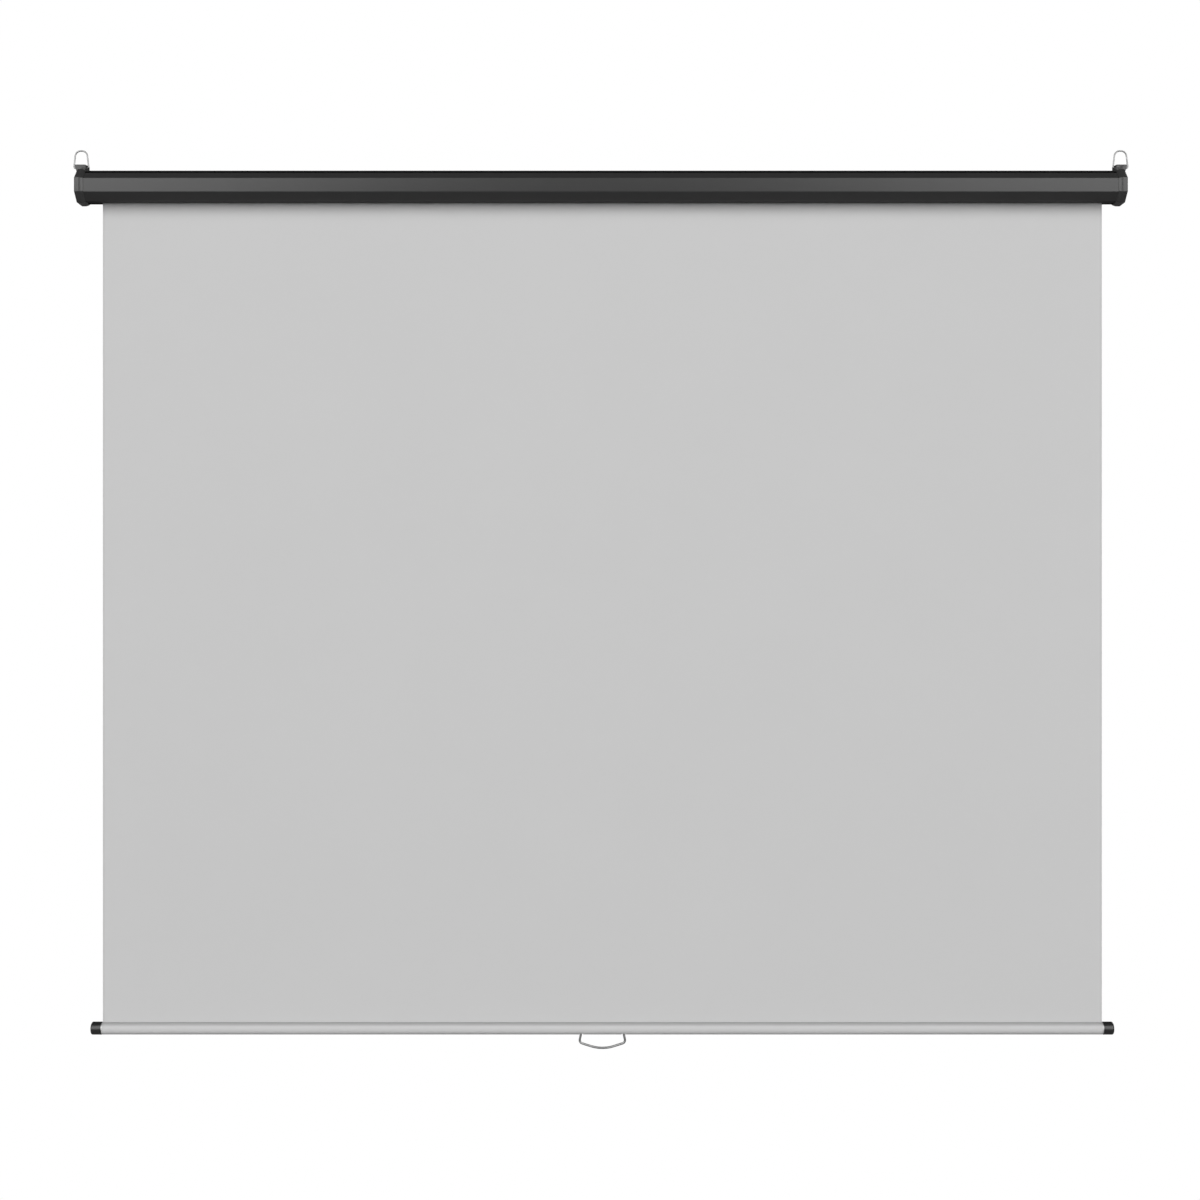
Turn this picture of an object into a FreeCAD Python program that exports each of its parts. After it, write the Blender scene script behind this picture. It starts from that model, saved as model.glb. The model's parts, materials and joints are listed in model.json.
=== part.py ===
import FreeCAD, Part
import math
import os
import re
import Sketcher

# Pull-down projection screen: a spring roller in an octagonal casing, with the cloth lowered.
# Millimetres. X runs along the casing, Y points to the wall, Z is up.
# The origin is the middle of the casing's back face, on the wall.

SIZES = {
    # casing: a roll-formed octagonal sheet, open along a slot below
    "casing_margin": 21.0,
    "casing_size": 62.0,
    "casing_flat": 29.5,
    "casing_sheet": 0.8,
    "casing_bend": 2.0,
    "slot_ahead": 6.0,
    "slot_behind": 1.6,
    "slot_lip": 6.0,
    # end caps: moulded sleeves over the casing's ends, flush with its back
    "cap_overlap": 16.0,
    "cap_nose": 5.0,
    "cap_wall": 3.6,
    "cap_fit": 0.2,
    "cap_round": 10.0,
    "cap_recess": 2.0,
    "cap_ledge": 4.0,
    "lug_width": 20.4,
    "lug_depth": 24.0,
    "lug_rise": 11.2,
    "lug_inset": 0.6,
    "lug_flare": 6.0,
    "lug_round": 5.0,
    "eye_drop": 6.8,
    "eye_fit": 0.15,
    # screws of the caps and of the plates inside them
    "screw_shank": 3.0,
    "screw_head": 6.4,
    "screw_head_height": 2.0,
    "screw_reach": 3.0,
    "screw_clearance": 0.5,
    "thread_fit": 0.05,
    # hanging rings
    "ring_wire": 3.0,
    "ring_foot": 31.0,
    "ring_height": 36.4,
    "ring_entry": 8.0,
    "ring_bend": 3.4,
    "ring_arch": 11.4,
    "ring_shift": 1.6,
    # roller, with the cloth leaving it on the wall side
    "roller_depth": 37.4,
    "roller_margin": 20.0,
    "roller_diameter": 31.0,
    "roller_sheet": 0.8,
    "wind_radius": 16.4,
    "plug_length": 20.0,
    "plug_fit": 0.05,
    "flange_thickness": 3.0,
    "turning_gap": 0.3,
    # fixed spindle, spring and lock at the left end
    "spindle_diameter": 9.0,
    "spindle_length": 330.0,
    "tang_width": 4.0,
    "tang_fit": 0.05,
    "spring_outside": 25.0,
    "spring_wire": 2.2,
    "anchor_flange": 4.0,
    "anchor_hub": 14.0,
    "ratchet_radius": 9.0,
    "ratchet_thickness": 4.0,
    "notch_step": 1.4,
    "notch_floor": 6.0,
    "notch_fall": 1.4,
    "clip_diameter": 14.0,
    "clip_thickness": 1.0,
    "pawl_pivot_out": 9.8,
    "pawl_pivot_up": 7.6,
    "pawl_hub": 6.0,
    "pawl_hover": 0.6,
    "pawl_nose": 3.2,
    "pawl_nose_length": 4.5,
    "pawl_overreach": 0.5,
    "pawl_play": 0.2,
    "pivot_pin": 3.0,
    "pivot_head": 4.8,
    "pivot_head_height": 0.8,
    "pivot_fit": 0.08,
    # right end of the roller and the plates that carry both ends
    "idle_pin_diameter": 8.0,
    "bush_wall": 2.0,
    "bush_flange": 16.0,
    "bush_flange_thickness": 1.5,
    "bush_fit": 0.08,
    "plate_thickness": 2.0,
    "plate_width": 36.0,
    "plate_height": 26.0,
    "plate_corner": 4.0,
    "plate_screw_pitch": 26.0,
    "plate_screw_grip": 2.4,
    # cloth
    "fabric_width": 2032.0,
    "fabric_offset": 3.0,
    "fabric_sheet": 0.38,
    # bottom bar, in the hem of the cloth
    "bar_drop": 1707.4,
    "bar_diameter": 24.0,
    "bar_sheet": 1.0,
    "hem_sheet": 0.5,
    "hem_fit": 0.05,
    "seam_rise": 2.0,
    "seam_depth": 2.4,
    "bar_cap_gap": 1.6,
    "bar_cap_length": 20.8,
    "bar_cap_diameter": 25.8,
    "bar_cap_end": 5.0,
    "bar_cap_bevel": 2.6,
    # pull handle
    "handle_wire": 4.5,
    "handle_pitch": 85.4,
    "handle_spread": 94.4,
    "handle_flat": 24.6,
    "handle_corner_drop": 20.8,
    "handle_reach": 31.9,
    "handle_entry": 14.0,
    "handle_bend": 4.0,
    "handle_corner": 7.0,
    "handle_curve": 22.0,
    "handle_play": 0.5,
    "handle_slot_width": 7.4,
    "handle_slot_depth": 17.0,
}

PLACES = {
    # casing section, in halves about its axis
    "half_size": "casing_size / 2",
    "half_flat": "casing_flat / 2",
    "casing_axis": "-casing_size / 2",
    "miter": "sqrt(2) - 1",
    "diagonal": "sqrt(0.5)",
    "bevel_middle": "(half_size + half_flat) / 2",
    # planes along the casing, on its right half
    "casing_end": "roller_end + casing_margin",
    "cap_rim": "casing_end - cap_overlap",
    "cap_tip": "casing_end + cap_nose",
    "plate_seat": "casing_end + cap_recess",
    "lug_top": "half_size + cap_wall + lug_rise",
    "eye_level": "lug_top - eye_drop",
    "ring_middle": "cap_rim + lug_inset + lug_width / 2 + ring_shift",
    # roller and cloth
    "roller_axis": "-roller_depth",
    "roller_radius": "roller_diameter / 2",
    "roller_bore": "roller_radius - roller_sheet",
    "roller_end": "fabric_width / 2 + roller_margin",
    "flange_face": "roller_end + flange_thickness",
    "fabric_plane": "wind_radius - roller_depth",
    "fabric_left": "fabric_offset - fabric_width / 2",
    "wraps_radius": "wind_radius - fabric_sheet / 2 - turning_gap",
    # spindle and lock
    "spindle_radius": "spindle_diameter / 2",
    "lock_face": "flange_face + pawl_play",
    "lock_back": "lock_face + ratchet_thickness",
    "spring_radius": "spring_outside / 2",
    "spring_bore": "spring_radius - spring_wire",
    "hub_radius": "spring_bore - turning_gap",
    "spindle_inner": "lock_face - spindle_length",
    # bottom bar and handle
    "bar_level": "-bar_drop",
    "bar_radius": "bar_diameter / 2",
    "hem_bore": "bar_radius + hem_fit",
    "hem_radius": "hem_bore + hem_sheet",
    "seam_top": "bar_level + hem_radius + seam_rise",
    "bar_reach": "fabric_width / 2 + bar_cap_gap + bar_cap_length",
    "handle_pivot": "bar_level - bar_radius + bar_sheet + handle_wire / 2 + handle_play",
}

# tolerance for finding edges by their place
NEAR = 0.01
# flats round a bent wire, a small screw and a small turned or moulded piece
WIRE_SIDES = 8
SCREW_SIDES = 12
ROUND_SIDES = 24
# straight steps round a ring's arch
ARCH_STEPS = 10

doc = FreeCAD.newDocument("projection_screen")


def bound(text):
    """Formula with every named value read from its sheet."""
    def reference(word):
        name = word.group()
        if name in SIZES:
            return "Sizes." + name
        return "Places." + name if name in PLACES else name
    return re.sub(r"[A-Za-z_]+", reference, text)


def make_sheet(name, cells):
    """Sheet with a name and an aliased value in each row."""
    sheet = doc.addObject("Spreadsheet::Sheet", name)
    for row, (alias, text) in enumerate(cells.items(), start=1):
        sheet.set(f"A{row}", alias)
        sheet.set(f"B{row}", text)
        sheet.setAlias(f"B{row}", alias)
    return sheet


sizes = make_sheet("Sizes", {alias: str(number) for alias, number in SIZES.items()})
make_sheet("Places", {alias: "=" + bound(text) for alias, text in PLACES.items()})
doc.recompute()


def value(text):
    """Number that a formula over the named values gives."""
    return float(sizes.evalExpression(bound(text)))


# Bodies, sketches and their features

def new_body(name):
    return doc.addObject("PartDesign::Body", name)


def new_sketch(body, role, name, along="0", across="0", up="0"):
    """Sketch on an origin plane of its body, moved along the plane's normal and within the plane."""
    sketch = body.newObject("Sketcher::SketchObject", name)
    plane = next(feature for feature in body.Origin.OriginFeatures if feature.Role == role)
    sketch.AttachmentSupport = [(plane, "")]
    sketch.MapMode = "FlatFace"
    sketch.setExpression("AttachmentOffset.Base.x", bound(across))
    sketch.setExpression("AttachmentOffset.Base.y", bound(up))
    sketch.setExpression("AttachmentOffset.Base.z", bound(along))
    return sketch


def fix(sketch, kind, *arguments):
    """Constraint whose size, the last argument, is a formula over the named values."""
    *items, formula = arguments
    number = sketch.addConstraint(Sketcher.Constraint(kind, *items, value(formula)))
    sketch.setExpression(f"Constraints[{number}]", bound(formula))


def corner_arc(before, corner, after, radius):
    """Tangent arc in a corner, with the points where it begins and ends and whether it turns left."""
    back = (before - corner).normalize()
    ahead = (after - corner).normalize()
    half = back.getAngle(ahead) / 2
    begin = corner + back * (radius / math.tan(half))
    finish = corner + ahead * (radius / math.tan(half))
    centre = corner + (back + ahead).normalize() * (radius / math.sin(half))
    left = ahead.cross(back).z > 0
    first, last = (begin, finish) if left else (finish, begin)
    start_angle = math.atan2(first.y - centre.y, first.x - centre.x)
    end_angle = math.atan2(last.y - centre.y, last.x - centre.x)
    if end_angle < start_angle:
        end_angle += 2 * math.pi
    circle = Part.Circle(centre, FreeCAD.Vector(0, 0, 1), radius)
    return Part.ArcOfCircle(circle, start_angle, end_angle), begin, finish, left


def outline(sketch, corners, closed=True):
    """Straight runs from corner to corner; a corner with a third formula is rounded to that radius."""
    count = len(corners)
    points = [FreeCAD.Vector(value(corner[0]), value(corner[1]), 0) for corner in corners]
    starts = list(points)
    ends = list(points)
    arcs = {}
    for index, corner in enumerate(corners):
        if len(corner) == 3:
            following = points[(index + 1) % count]
            arc, ends[index], starts[index], left = corner_arc(
                points[index - 1], points[index], following, value(corner[2]))
            arcs[index] = (sketch.addGeometry(arc), left)
    runs = count if closed else count - 1
    lines = [sketch.addGeometry(Part.LineSegment(starts[index], ends[(index + 1) % count]))
             for index in range(runs)]
    for index, corner in enumerate(corners):
        arriving = lines[index - 1] if closed or index > 0 else None
        leaving = lines[index] if index < runs else None
        if index in arcs:
            arc, left = arcs[index]
            point = sketch.addGeometry(Part.Point(points[index]), True)
            sketch.addConstraint([
                Sketcher.Constraint("Tangent", arriving, 2, arc, 1 if left else 2),
                Sketcher.Constraint("Tangent", leaving, 1, arc, 2 if left else 1),
                Sketcher.Constraint("PointOnObject", point, 1, arriving),
                Sketcher.Constraint("PointOnObject", point, 1, leaving),
            ])
            fix(sketch, "Radius", arc, corner[2])
            held = (point, 1)
        elif leaving is None:
            held = (arriving, 2)
        else:
            if arriving is not None:
                sketch.addConstraint(Sketcher.Constraint("Coincident", arriving, 2, leaving, 1))
            held = (leaving, 1)
        fix(sketch, "DistanceX", *held, corner[0])
        fix(sketch, "DistanceY", *held, corner[1])


def circle(sketch, radius, across="0", up="0"):
    centre = FreeCAD.Vector(value(across), value(up), 0)
    ring = sketch.addGeometry(Part.Circle(centre, FreeCAD.Vector(0, 0, 1), value(radius)))
    fix(sketch, "Radius", ring, radius)
    fix(sketch, "DistanceX", ring, 3, across)
    fix(sketch, "DistanceY", ring, 3, up)


def polygon(radius, sides, across="0", up="0"):
    """Corners of a many-sided section about a middle point."""
    turns = [2 * math.pi * side / sides for side in range(sides)]
    return [(f"{across} + ({radius}) * {math.cos(angle):.6f}", f"{up} + ({radius}) * {math.sin(angle):.6f}")
            for angle in turns]


def rectangle(across, up, width, height, *radius):
    """Corners of a rectangle about a middle point."""
    return [(f"{across} + {side} * ({width}) / 2", f"{up} + {level} * ({height}) / 2", *radius)
            for side, level in ((-1, -1), (1, -1), (1, 1), (-1, 1))]


def pad(body, sketch, length):
    """Solid along the sketch's normal."""
    feature = body.newObject("PartDesign::Pad", sketch.Name + "_pad")
    feature.Profile = sketch
    feature.setExpression("Length", bound(length))
    return feature


def pocket(body, sketch, depth):
    """Cut along the sketch's normal."""
    feature = body.newObject("PartDesign::Pocket", sketch.Name + "_pocket")
    feature.Profile = sketch
    feature.Reversed = True
    feature.setExpression("Length", bound(depth))
    return feature


def pipe(body, profile, path):
    """Wire swept along a path, mitred where the path has a corner."""
    feature = body.newObject("PartDesign::AdditivePipe", path.Name + "_wire")
    feature.Profile = profile
    feature.Spine = (path, [])
    feature.Transition = "Right corner"
    return feature


def picked_edges(feature, chosen):
    """Names of the edges that a test picks."""
    doc.recompute()
    return [f"Edge{number}" for number, edge in enumerate(feature.Shape.Edges, start=1) if chosen(edge)]


def round_edges(body, feature, chosen, radius):
    fillet = body.newObject("PartDesign::Fillet", feature.Name + "_round")
    fillet.Base = (feature, picked_edges(feature, chosen))
    fillet.setExpression("Radius", bound(radius))
    return fillet


def bevel_edges(body, feature, chosen, size):
    chamfer = body.newObject("PartDesign::Chamfer", feature.Name + "_bevel")
    chamfer.Base = (feature, picked_edges(feature, chosen))
    chamfer.setExpression("Size", bound(size))
    return chamfer


# Solids that need no sketch

def place(item, x, y, z):
    for axis, text in zip("xyz", (x, y, z)):
        item.setExpression(f"Placement.Base.{axis}", bound(text))


def turn(item, direction):
    """Point a round solid's axis along a direction."""
    item.Placement.Rotation = FreeCAD.Rotation(FreeCAD.Vector(0, 0, 1), FreeCAD.Vector(*direction))


def cylinder(name, radius, length, start, across="roller_axis", up="0"):
    """Round bar along X."""
    bar = doc.addObject("Part::Cylinder", name)
    bar.setExpression("Radius", bound(radius))
    bar.setExpression("Height", bound(length))
    turn(bar, (1, 0, 0))
    place(bar, start, across, up)
    return bar


def spool(name, radius, length, start, across="roller_axis", up="0"):
    """Small turned piece along X, as a many-sided bar."""
    bar = doc.addObject("Part::Prism", name)
    bar.Polygon = ROUND_SIDES
    bar.setExpression("Circumradius", bound(radius))
    bar.setExpression("Height", bound(length))
    turn(bar, (1, 0, 0))
    place(bar, start, across, up)
    return bar


def box(name, size, corner):
    block = doc.addObject("Part::Box", name)
    for side, text in zip(("Length", "Width", "Height"), size):
        block.setExpression(side, bound(text))
    place(block, *corner)
    return block


def fuse(name, *items):
    joined = doc.addObject("Part::MultiFuse", name)
    joined.Shapes = list(items)
    return joined


def cut(name, base, *tools):
    result = doc.addObject("Part::Cut", name)
    result.Base = base
    result.Tool = tools[0] if len(tools) == 1 else fuse(name + "_tools", *tools)
    return result


def group(name, *items):
    """Like pieces that share one node."""
    together = doc.addObject("Part::Compound", name)
    together.Links = list(items)
    return together


def mirrored(name, source, about="0"):
    """Left-hand twin of a right-hand piece."""
    twin = doc.addObject("Part::Mirroring", name)
    twin.Source = source
    twin.Normal = FreeCAD.Vector(1, 0, 0)
    twin.setExpression("Base.x", bound(about))
    return twin


def tube(name, outside, inside, length, start, across="roller_axis", up="0"):
    """Hollow round bar along X."""
    return cut(name, cylinder(name + "_outside", outside, length, start, across, up),
               cylinder(name + "_inside", inside, length, start, across, up))


def screw(name, grip, seat, direction):
    """Flat head screw with the underside of its head at the seat, pointing against a direction."""
    shank = doc.addObject("Part::Prism", name + "_shank")
    head = doc.addObject("Part::Prism", name + "_head")
    for item, diameter, height in ((shank, "screw_shank", grip), (head, "screw_head", "screw_head_height")):
        item.Polygon = SCREW_SIDES
        item.setExpression("Circumradius", bound(f"{diameter} / 2"))
        item.setExpression("Height", bound(height))
        place(item, *seat)
    turn(shank, [-part for part in direction])
    turn(head, direction)
    return fuse(name, shank, head)


# Casing and end caps

def octagon(half, flat):
    """Corners about the casing axis, from the lower front one round by the front, top and back."""
    signs = ((-1, -1, 0), (-1, -1, 1), (-1, 1, 1), (-1, 1, 0), (1, 1, 0), (1, 1, 1), (1, -1, 1), (1, -1, 0))
    corners = []
    for side, level, wide in signs:
        across, up = (half, flat) if wide else (flat, half)
        corners.append((f"casing_axis + {side} * ({across})", f"{level} * ({up})"))
    return corners


def bevel_hole(name, side, level, radius):
    """Drill through a rear bevel, halfway along the overlap of cap and casing."""
    drill = doc.addObject("Part::Cylinder", name)
    drill.setExpression("Radius", bound(radius))
    drill.setExpression("Height", bound("2 * cap_overlap"))
    turn(drill, (0, 1, level))
    start = "bevel_middle - diagonal * cap_overlap"
    place(drill, f"{side} * (casing_end - cap_overlap / 2)", f"casing_axis + {start}", f"{level} * ({start})")
    return drill


def make_casing_shell():
    body = new_body("casing_sheet_body")
    profile = new_sketch(body, "YZ_Plane", "casing_profile", along="-casing_end")
    inner_bend = "casing_bend - casing_sheet"
    outer = [(*corner, "casing_bend") for corner in octagon("half_size", "half_flat")]
    inner = [(*corner, inner_bend)
             for corner in octagon("half_size - casing_sheet", "half_flat - miter * casing_sheet")]
    front = "fabric_plane - slot_ahead"
    rear = "fabric_plane + slot_behind"
    lip = "slot_lip - half_size"
    outline(profile, [
        (front, "-half_size", "casing_bend"),
        *outer,
        (rear, "-half_size", "casing_bend"),
        (rear, lip),
        (f"{rear} + casing_sheet", lip),
        (f"{rear} + casing_sheet", "casing_sheet - half_size", inner_bend),
        *reversed(inner),
        (f"{front} - casing_sheet", "casing_sheet - half_size", inner_bend),
        (f"{front} - casing_sheet", lip),
        (front, lip),
    ])
    pad(body, profile, "2 * casing_end")
    holes = [bevel_hole(f"casing_hole_{side}_{level}".replace("-", "minus_"), side, level,
                        "screw_shank / 2 + screw_clearance")
             for side in (-1, 1) for level in (-1, 1)]
    return cut("casing_shell", body, *holes)


def make_cap():
    body = new_body("cap_moulding")
    block = new_sketch(body, "YZ_Plane", "cap_block", along="cap_rim")
    flat = "half_flat + miter * cap_wall"
    corners = octagon("half_size + cap_wall", flat)
    corners[5] = ("0", f"{flat} + cap_wall")
    corners[6] = ("0", f"-({flat} + cap_wall)")
    outline(block, corners)
    nose = pad(body, block, "cap_overlap + cap_nose")
    tip = value("cap_tip") - NEAR
    round_edges(body, nose, lambda edge: edge.BoundBox.XMin > tip and edge.BoundBox.YMin < -NEAR, "cap_round")
    sleeve = new_sketch(body, "YZ_Plane", "cap_sleeve", along="cap_rim")
    outline(sleeve, octagon("half_size + cap_fit", "half_flat + miter * cap_fit"))
    pocket(body, sleeve, "cap_overlap")
    recess = new_sketch(body, "YZ_Plane", "cap_hollow", along="casing_end")
    outline(recess, octagon("half_size - cap_ledge", "half_flat - miter * cap_ledge"))
    pocket(body, recess, "cap_recess")
    lug = new_sketch(body, "XZ_Plane", "cap_lug", along="-casing_axis - lug_depth / 2",
                     across="cap_rim + lug_inset", up="half_size + 2 * cap_fit")
    lug_height = "cap_wall + lug_rise - 2 * cap_fit"
    outline(lug, [("0", "0"), ("lug_width - lug_flare", "0"), ("lug_width", lug_height), ("0", lug_height)])
    hanger = pad(body, lug, "lug_depth")
    top = value("lug_top") - NEAR
    round_edges(body, hanger, lambda edge: edge.BoundBox.ZMin > top and edge.BoundBox.XLength > NEAR,
                "lug_round")
    eye = new_sketch(body, "YZ_Plane", "lug_eye", along="cap_rim")
    circle(eye, "ring_wire / 2 + eye_fit", "casing_axis", "eye_level")
    pocket(body, eye, "lug_width + 2 * lug_inset")
    bores = new_sketch(body, "YZ_Plane", "plate_screw_bores", along="plate_seat")
    for side in (-1, 1):
        circle(bores, "screw_shank / 2 + thread_fit", f"roller_axis + {side} * plate_screw_pitch / 2")
    pocket(body, bores, "plate_screw_grip + thread_fit")
    holes = [bevel_hole(f"cap_hole_{name}", 1, level, "screw_shank / 2 + thread_fit")
             for name, level in (("bottom", -1), ("top", 1))]
    return cut("end_cap_right", body, *holes)


def make_cap_screws():
    seat = "bevel_middle + diagonal * cap_wall"
    screws = [screw(f"cap_screw_{name}", "cap_wall + screw_reach",
                    ("casing_end - cap_overlap / 2", f"casing_axis + {seat}", f"{level} * ({seat})"),
                    (0, 1, level))
              for name, level in (("bottom", -1), ("top", 1))]
    return group("cap_screws_right", *screws)


# Hanging rings

def make_ring():
    body = new_body("hang_ring_right")
    path = new_sketch(body, "XZ_Plane", "ring_path", "-casing_axis", "ring_middle", "eye_level")
    tip = "lug_width / 2 - ring_entry"
    foot = "ring_foot / 2"
    corner = "ring_bend * (1 - diagonal)"
    turns = [math.pi * step / ARCH_STEPS for step in range(ARCH_STEPS + 1)]
    leg = [(tip, "0"), (f"{foot} - ring_bend", "0"), (f"{foot} - {corner}", corner), (foot, "ring_bend")]
    arch = [(f"ring_arch * {math.cos(angle):.6f}", f"ring_height - ring_arch * {1 - math.sin(angle):.6f}")
            for angle in turns]
    outline(path, leg + arch + [(f"-({across})", up) for across, up in reversed(leg)], closed=False)
    section = new_sketch(body, "YZ_Plane", "ring_section", f"ring_middle + {tip}")
    outline(section, polygon("ring_wire / 2", WIRE_SIDES, "casing_axis", "eye_level"))
    pipe(body, section, path)
    return body


# Roller

def make_roller():
    pieces = [
        tube("roller_tube", "roller_radius", "roller_bore", "2 * roller_end", "-roller_end"),
        tube("fabric_wraps", "wraps_radius", "roller_radius", "fabric_width", "fabric_left"),
    ]
    spring_plug = fuse(
        "spring_plug_solid",
        spool("spring_plug_flange", "roller_radius", "flange_thickness", "-flange_face"),
        spool("spring_plug_insert", "roller_bore - plug_fit", "plug_length", "-roller_end"),
        spool("spring_plug_hub", "hub_radius", "plug_length + anchor_hub", "-roller_end"))
    holes = [spool(f"pin_hole_{name}", "pivot_pin / 2", "flange_thickness", "-flange_face",
                      f"roller_axis + {side} * pawl_pivot_out", f"{side} * pawl_pivot_up")
             for name, side in (("upper", 1), ("lower", -1))]
    pieces.append(cut("spring_plug", spring_plug, *holes, spool(
        "spring_plug_bore", "spindle_radius + turning_gap",
        "flange_thickness + plug_length + anchor_hub", "-flange_face")))
    pins = []
    for name, side in (("upper", 1), ("lower", -1)):
        centre = (f"roller_axis + {side} * pawl_pivot_out", f"{side} * pawl_pivot_up")
        pins.append(fuse(
            f"pawl_pin_{name}",
            spool(f"pin_shank_{name}", "pivot_pin / 2", "lock_back - roller_end", "-lock_back", *centre),
            spool(f"pin_head_{name}", "pivot_head / 2", "pivot_head_height",
                     "-lock_back - pivot_head_height", *centre)))
    pieces.append(group("pawl_pins", *pins))
    idle_plug = fuse(
        "idle_plug_solid",
        spool("idle_plug_flange", "roller_radius", "flange_thickness", "roller_end"),
        spool("idle_plug_insert", "roller_bore - plug_fit", "plug_length", "roller_end - plug_length"))
    pieces.append(cut("idle_plug", idle_plug, spool(
        "idle_plug_bore", "idle_pin_diameter / 2", "flange_thickness + plug_length",
        "roller_end - plug_length")))
    pieces.append(spool("idle_pin", "idle_pin_diameter / 2",
                        "plate_seat - turning_gap - roller_end + plug_length", "roller_end - plug_length"))
    return pieces


# Spindle, spring and lock

def tang_slot(sketch, fit):
    """Slot that keys a piece on the spindle's flat tang."""
    outline(sketch, rectangle("0", "0", f"tang_width + 2 * {fit}", f"spindle_diameter + 2 * {fit}"))


def make_spindle():
    rod = cylinder("spindle_rod", "spindle_radius", "spindle_length", "-lock_face")
    tang = box("spindle_tang", ("plate_seat - lock_face - turning_gap", "tang_width", "spindle_diameter"),
               ("turning_gap - plate_seat", "roller_axis - tang_width / 2", "-spindle_radius"))
    return fuse("spindle", rod, tang)


def make_spring():
    seat = "-spindle_inner - anchor_flange"
    anchor = fuse("spring_anchor_solid",
                  spool("anchor_disc", "spring_radius", "anchor_flange", seat),
                  spool("anchor_hub_boss", "hub_radius", "anchor_hub + anchor_flange",
                           f"{seat} - anchor_hub"))
    bore = spool("anchor_bore", "spindle_radius + plug_fit", "anchor_hub + anchor_flange",
                 f"{seat} - anchor_hub")
    start = "plug_length + turning_gap - roller_end"
    return [cut("spring_anchor", anchor, bore),
            tube("torsion_spring", "spring_radius", "spring_bore", f"{seat} - ({start})", start)]


def make_ratchet():
    body = new_body("ratchet_wheel")
    disc = new_sketch(body, "YZ_Plane", "ratchet_disc", "-lock_back", "roller_axis")
    circle(disc, "ratchet_radius")
    pad(body, disc, "ratchet_thickness")
    notch = new_sketch(body, "YZ_Plane", "ratchet_notch", "-lock_back", "roller_axis")
    outline(notch, [("-notch_step", "notch_floor"), ("ratchet_radius", "notch_floor - notch_fall"),
                    ("ratchet_radius", "ratchet_radius + pawl_hover"),
                    ("-notch_step", "ratchet_radius + pawl_hover")])
    step = pocket(body, notch, "ratchet_thickness")
    twin = body.newObject("PartDesign::PolarPattern", "ratchet_notches")
    twin.Originals = [step]
    twin.Axis = (notch, ["N_Axis"])
    twin.Angle = 360
    twin.Occurrences = 2
    body.Tip = twin
    slot = new_sketch(body, "YZ_Plane", "ratchet_slot", "-lock_back", "roller_axis")
    tang_slot(slot, "tang_fit")
    pocket(body, slot, "ratchet_thickness")
    return body


def make_clip():
    body = new_body("spindle_clip")
    disc = new_sketch(body, "YZ_Plane", "clip_disc", "-lock_back - clip_thickness", "roller_axis")
    circle(disc, "clip_diameter / 2")
    pad(body, disc, "clip_thickness")
    slot = new_sketch(body, "YZ_Plane", "clip_slot", "-lock_back - clip_thickness", "roller_axis")
    half = "tang_width / 2 + tang_fit"
    outline(slot, [(f"-({half})", "-clip_diameter"), (half, "-clip_diameter"),
                   (half, "spindle_radius + tang_fit"), (f"-({half})", "spindle_radius + tang_fit")])
    pocket(body, slot, "clip_thickness")
    return body


def make_pawl(name, angle):
    """Lock pawl whose nose hovers over a notch; the second is the first turned half way round the axis."""
    body = new_body(name)
    face = "-lock_back + pawl_play"
    thickness = "ratchet_thickness - pawl_play"
    hub = new_sketch(body, "YZ_Plane", name + "_hub", face)
    circle(hub, "pawl_hub / 2", "pawl_pivot_out", "pawl_pivot_up")
    pad(body, hub, thickness)
    arm = new_sketch(body, "YZ_Plane", name + "_arm", face)
    under = "ratchet_radius + pawl_hover"
    outline(arm, [("-pawl_overreach", under), ("pawl_nose_length - pawl_overreach", under),
                  ("pawl_pivot_out - pawl_hub / 3", "pawl_pivot_up - pawl_hub / 4"),
                  ("pawl_pivot_out", "pawl_pivot_up"),
                  ("pawl_pivot_out", "pawl_pivot_up + pawl_hub / 2"),
                  ("-pawl_overreach", f"{under} + pawl_nose")])
    pad(body, arm, thickness)
    hole = new_sketch(body, "YZ_Plane", name + "_hole", face)
    circle(hole, "pivot_pin / 2 + pivot_fit", "pawl_pivot_out", "pawl_pivot_up")
    pocket(body, hole, thickness)
    body.Placement.Rotation = FreeCAD.Rotation(FreeCAD.Vector(1, 0, 0), angle)
    place(body, "0", "roller_axis", "0")
    return body


# Plates that carry the roller's ends

def make_plate(name, start, keyed):
    """Steel plate against a cap's end wall, with a keyed slot for the tang or a round hole for the bush."""
    body = new_body(name)
    sheet = new_sketch(body, "YZ_Plane", name + "_sheet", start, "roller_axis")
    outline(sheet, rectangle("0", "0", "plate_width", "plate_height", "plate_corner"))
    pad(body, sheet, "plate_thickness")
    holes = new_sketch(body, "YZ_Plane", name + "_screw_holes", start, "roller_axis")
    for side in (-1, 1):
        circle(holes, "screw_shank / 2 + thread_fit", f"{side} * plate_screw_pitch / 2")
    pocket(body, holes, "plate_thickness")
    seat = new_sketch(body, "YZ_Plane", name + "_seat", start, "roller_axis")
    if keyed:
        tang_slot(seat, "tang_fit")
    else:
        outline(seat, polygon("idle_pin_diameter / 2 + bush_fit + bush_wall", ROUND_SIDES))
    pocket(body, seat, "plate_thickness")
    return body


def make_bush():
    seat = "plate_seat - plate_thickness"
    sleeve = "idle_pin_diameter / 2 + bush_fit + bush_wall"
    solid = fuse("bush_solid",
                 spool("bush_collar", "bush_flange / 2", "bush_flange_thickness",
                          f"{seat} - bush_flange_thickness"),
                 spool("bush_sleeve", sleeve, "plate_thickness", seat))
    return cut("bearing_bush", solid, spool(
        "bush_bore", "idle_pin_diameter / 2 + bush_fit", "plate_thickness + bush_flange_thickness",
        f"{seat} - bush_flange_thickness"))


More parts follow.
